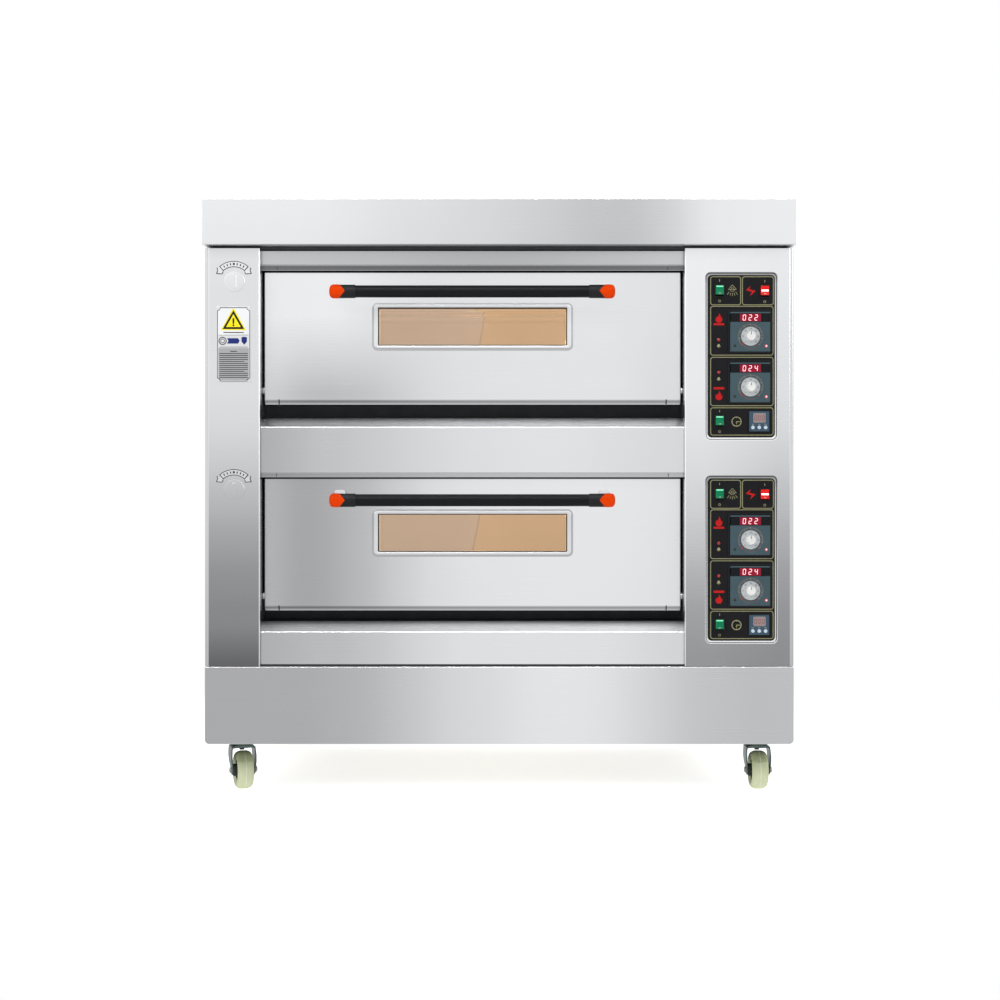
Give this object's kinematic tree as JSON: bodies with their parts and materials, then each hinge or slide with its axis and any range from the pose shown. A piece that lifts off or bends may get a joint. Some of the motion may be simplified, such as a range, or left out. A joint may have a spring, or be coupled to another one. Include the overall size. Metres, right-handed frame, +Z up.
{
  "type": "deck oven",
  "caption": "Two-deck electric baking oven in folded stainless steel, with drop-down glazed doors, a control column and swivel casters.",
  "frame": {"origin": "on the floor, at the centre of the footprint (hood front to flue pipe ends)", "axes": "+X to the right as seen from the front, +Y from the front to the back, +Z up"},
  "size_m": [1.22, 0.84, 1.227],
  "materials": {
    "stainless": "satin brushed",
    "label_metal": "printed satin plate",
    "frame_paint": "satin",
    "black_paint": "matt",
    "chamber_steel": "heat-tinted",
    "hearth_steel": "matt scale",
    "rock_wool": "fibrous",
    "fascia_black": "satin film",
    "controller_slate": "moulded satin",
    "lamp_red": "clear red",
    "lamp_glass": "clear",
    "window_glass": "clear",
    "handle_black": "semi-gloss",
    "cap_orange": "gloss",
    "dial_ivory": "satin",
    "switch_green": "gloss",
    "switch_red": "gloss",
    "button_grey": "satin",
    "caster_steel": "zinc plated, dark",
    "wheel_green": "satin polyurethane"
  },
  "bodies": {
    "root": {"base_skirt": "stainless", "chassis_frame": "frame_paint", "hood": "stainless", "left_column": "stainless", "right_column": "stainless", "side_panels": "stainless", "back_panel": "stainless", "front_panels": "stainless", "front_bulkhead": "black_paint", "chambers": "chamber_steel", "hearth_plates": "hearth_steel", "insulation": "rock_wool", "heating_elements": "hearth_steel", "hinge_pins": "stainless", "control_fascias": "fascia_black", "control_modules": "controller_slate", "alarm_lamps": "lamp_red", "chamber_lamps": "lamp_glass", "electrical_gear": "frame_paint", "flue_pipes": "stainless", "caster_plates": "caster_steel", "label_plates": "label_metal"},
    "upper_door": {"upper_door_skin": "stainless", "upper_door_liner": "chamber_steel", "upper_window_bezel": "stainless", "upper_window_glass": "window_glass", "upper_handle_bar": "handle_black", "upper_handle_caps": "cap_orange"},
    "lower_door": {"lower_door_skin": "stainless", "lower_door_liner": "chamber_steel", "lower_window_bezel": "stainless", "lower_window_glass": "window_glass", "lower_handle_bar": "handle_black", "lower_handle_caps": "cap_orange"},
    "upper_top_heat_dial": {"upper_top_heat_dial": "dial_ivory"},
    "upper_bottom_heat_dial": {"upper_bottom_heat_dial": "dial_ivory"},
    "lower_top_heat_dial": {"lower_top_heat_dial": "dial_ivory"},
    "lower_bottom_heat_dial": {"lower_bottom_heat_dial": "dial_ivory"},
    "upper_lamp_switch": {"upper_lamp_switch": "switch_green"},
    "upper_power_switch": {"upper_power_switch": "switch_red"},
    "upper_timer_switch": {"upper_timer_switch": "switch_green"},
    "lower_lamp_switch": {"lower_lamp_switch": "switch_green"},
    "lower_power_switch": {"lower_power_switch": "switch_red"},
    "lower_timer_switch": {"lower_timer_switch": "switch_green"},
    "upper_timer_button_1": {"upper_timer_button_1": "button_grey"},
    "upper_timer_button_2": {"upper_timer_button_2": "button_grey"},
    "upper_timer_button_3": {"upper_timer_button_3": "button_grey"},
    "lower_timer_button_1": {"lower_timer_button_1": "button_grey"},
    "lower_timer_button_2": {"lower_timer_button_2": "button_grey"},
    "lower_timer_button_3": {"lower_timer_button_3": "button_grey"},
    "upper_exhaust_knob": {"upper_exhaust_knob": "stainless"},
    "lower_exhaust_knob": {"lower_exhaust_knob": "stainless"},
    "front_left_fork": {"front_left_fork": "caster_steel"},
    "front_left_wheel": {"front_left_wheel": "wheel_green"},
    "front_right_fork": {"front_right_fork": "caster_steel"},
    "front_right_wheel": {"front_right_wheel": "wheel_green"},
    "rear_left_fork": {"rear_left_fork": "caster_steel"},
    "rear_left_wheel": {"rear_left_wheel": "wheel_green"},
    "rear_right_fork": {"rear_right_fork": "caster_steel"},
    "rear_right_wheel": {"rear_right_wheel": "wheel_green"}
  },
  "joints": [
    {"name": "upper_door_hinge", "type": "hinge", "parent": "root", "child": "upper_door", "pos_m": [-0.05565, -0.342, 0.8375], "axis": [1, 0, 0], "range_deg": [0, 90]},
    {"name": "lower_door_hinge", "type": "hinge", "parent": "root", "child": "lower_door", "pos_m": [-0.05565, -0.342, 0.4075], "axis": [1, 0, 0], "range_deg": [0, 90]},
    {"name": "upper_top_heat_dial_turn", "type": "hinge", "parent": "root", "child": "upper_top_heat_dial", "pos_m": [0.5185, -0.394, 0.9469], "axis": [0, 1, 0], "range_deg": [0, 270]},
    {"name": "upper_bottom_heat_dial_turn", "type": "hinge", "parent": "root", "child": "upper_bottom_heat_dial", "pos_m": [0.5185, -0.394, 0.8422], "axis": [0, 1, 0], "range_deg": [0, 270]},
    {"name": "lower_top_heat_dial_turn", "type": "hinge", "parent": "root", "child": "lower_top_heat_dial", "pos_m": [0.5185, -0.394, 0.5269], "axis": [0, 1, 0], "range_deg": [0, 270]},
    {"name": "lower_bottom_heat_dial_turn", "type": "hinge", "parent": "root", "child": "lower_bottom_heat_dial", "pos_m": [0.5185, -0.394, 0.4222], "axis": [0, 1, 0], "range_deg": [0, 270]},
    {"name": "upper_lamp_switch_rock", "type": "hinge", "parent": "root", "child": "upper_lamp_switch", "pos_m": [0.4547, -0.391, 1.0409], "axis": [1, 0, 0], "range_deg": [0, 16]},
    {"name": "upper_power_switch_rock", "type": "hinge", "parent": "root", "child": "upper_power_switch", "pos_m": [0.548, -0.391, 1.0397], "axis": [1, 0, 0], "range_deg": [0, 16]},
    {"name": "upper_timer_switch_rock", "type": "hinge", "parent": "root", "child": "upper_timer_switch", "pos_m": [0.4547, -0.391, 0.7715], "axis": [1, 0, 0], "range_deg": [0, 16]},
    {"name": "lower_lamp_switch_rock", "type": "hinge", "parent": "root", "child": "lower_lamp_switch", "pos_m": [0.4547, -0.391, 0.6209], "axis": [1, 0, 0], "range_deg": [0, 16]},
    {"name": "lower_power_switch_rock", "type": "hinge", "parent": "root", "child": "lower_power_switch", "pos_m": [0.548, -0.391, 0.6197], "axis": [1, 0, 0], "range_deg": [0, 16]},
    {"name": "lower_timer_switch_rock", "type": "hinge", "parent": "root", "child": "lower_timer_switch", "pos_m": [0.4547, -0.391, 0.3515], "axis": [1, 0, 0], "range_deg": [0, 16]},
    {"name": "upper_timer_button_1_press", "type": "slide", "parent": "root", "child": "upper_timer_button_1", "axis": [0, 1, 0], "range_m": [0, 0.0012], "stiffness_N_per_m": 300},
    {"name": "upper_timer_button_2_press", "type": "slide", "parent": "root", "child": "upper_timer_button_2", "axis": [0, 1, 0], "range_m": [0, 0.0012], "stiffness_N_per_m": 300},
    {"name": "upper_timer_button_3_press", "type": "slide", "parent": "root", "child": "upper_timer_button_3", "axis": [0, 1, 0], "range_m": [0, 0.0012], "stiffness_N_per_m": 300},
    {"name": "lower_timer_button_1_press", "type": "slide", "parent": "root", "child": "lower_timer_button_1", "axis": [0, 1, 0], "range_m": [0, 0.0012], "stiffness_N_per_m": 300},
    {"name": "lower_timer_button_2_press", "type": "slide", "parent": "root", "child": "lower_timer_button_2", "axis": [0, 1, 0], "range_m": [0, 0.0012], "stiffness_N_per_m": 300},
    {"name": "lower_timer_button_3_press", "type": "slide", "parent": "root", "child": "lower_timer_button_3", "axis": [0, 1, 0], "range_m": [0, 0.0012], "stiffness_N_per_m": 300},
    {"name": "upper_exhaust_knob_turn", "type": "hinge", "parent": "root", "child": "upper_exhaust_knob", "pos_m": [-0.547, -0.392, 1.06], "axis": [0, 1, 0], "range_deg": [0, 90]},
    {"name": "lower_exhaust_knob_turn", "type": "hinge", "parent": "root", "child": "lower_exhaust_knob", "pos_m": [-0.547, -0.392, 0.63], "axis": [0, 1, 0], "range_deg": [0, 90]},
    {"name": "front_left_fork_swivel", "type": "hinge", "parent": "root", "child": "front_left_fork", "pos_m": [-0.546, -0.298, 0], "axis": [0, 0, 1], "continuous": true},
    {"name": "front_left_wheel_roll", "type": "hinge", "parent": "front_left_fork", "child": "front_left_wheel", "pos_m": [-0.54079, -0.31313, 0.04], "axis": [0.9455, 0.3256, 0], "continuous": true},
    {"name": "front_right_fork_swivel", "type": "hinge", "parent": "root", "child": "front_right_fork", "pos_m": [0.546, -0.298, 0], "axis": [0, 0, 1], "continuous": true},
    {"name": "front_right_wheel_roll", "type": "hinge", "parent": "front_right_fork", "child": "front_right_wheel", "pos_m": [0.54628, -0.314, 0.04], "axis": [0.9998, 0.0175, 0], "continuous": true},
    {"name": "rear_left_fork_swivel", "type": "hinge", "parent": "root", "child": "rear_left_fork", "pos_m": [-0.546, 0.308, 0], "axis": [0, 0, 1], "continuous": true},
    {"name": "rear_left_wheel_roll", "type": "hinge", "parent": "rear_left_fork", "child": "rear_left_wheel", "pos_m": [-0.55121, 0.32313, 0.04], "axis": [0.9455, 0.3256, 0], "continuous": true},
    {"name": "rear_right_fork_swivel", "type": "hinge", "parent": "root", "child": "rear_right_fork", "pos_m": [0.546, 0.308, 0], "axis": [0, 0, 1], "continuous": true},
    {"name": "rear_right_wheel_roll", "type": "hinge", "parent": "rear_right_fork", "child": "rear_right_wheel", "pos_m": [0.54572, 0.324, 0.04], "axis": [0.9998, 0.0175, 0], "continuous": true}
  ]
}
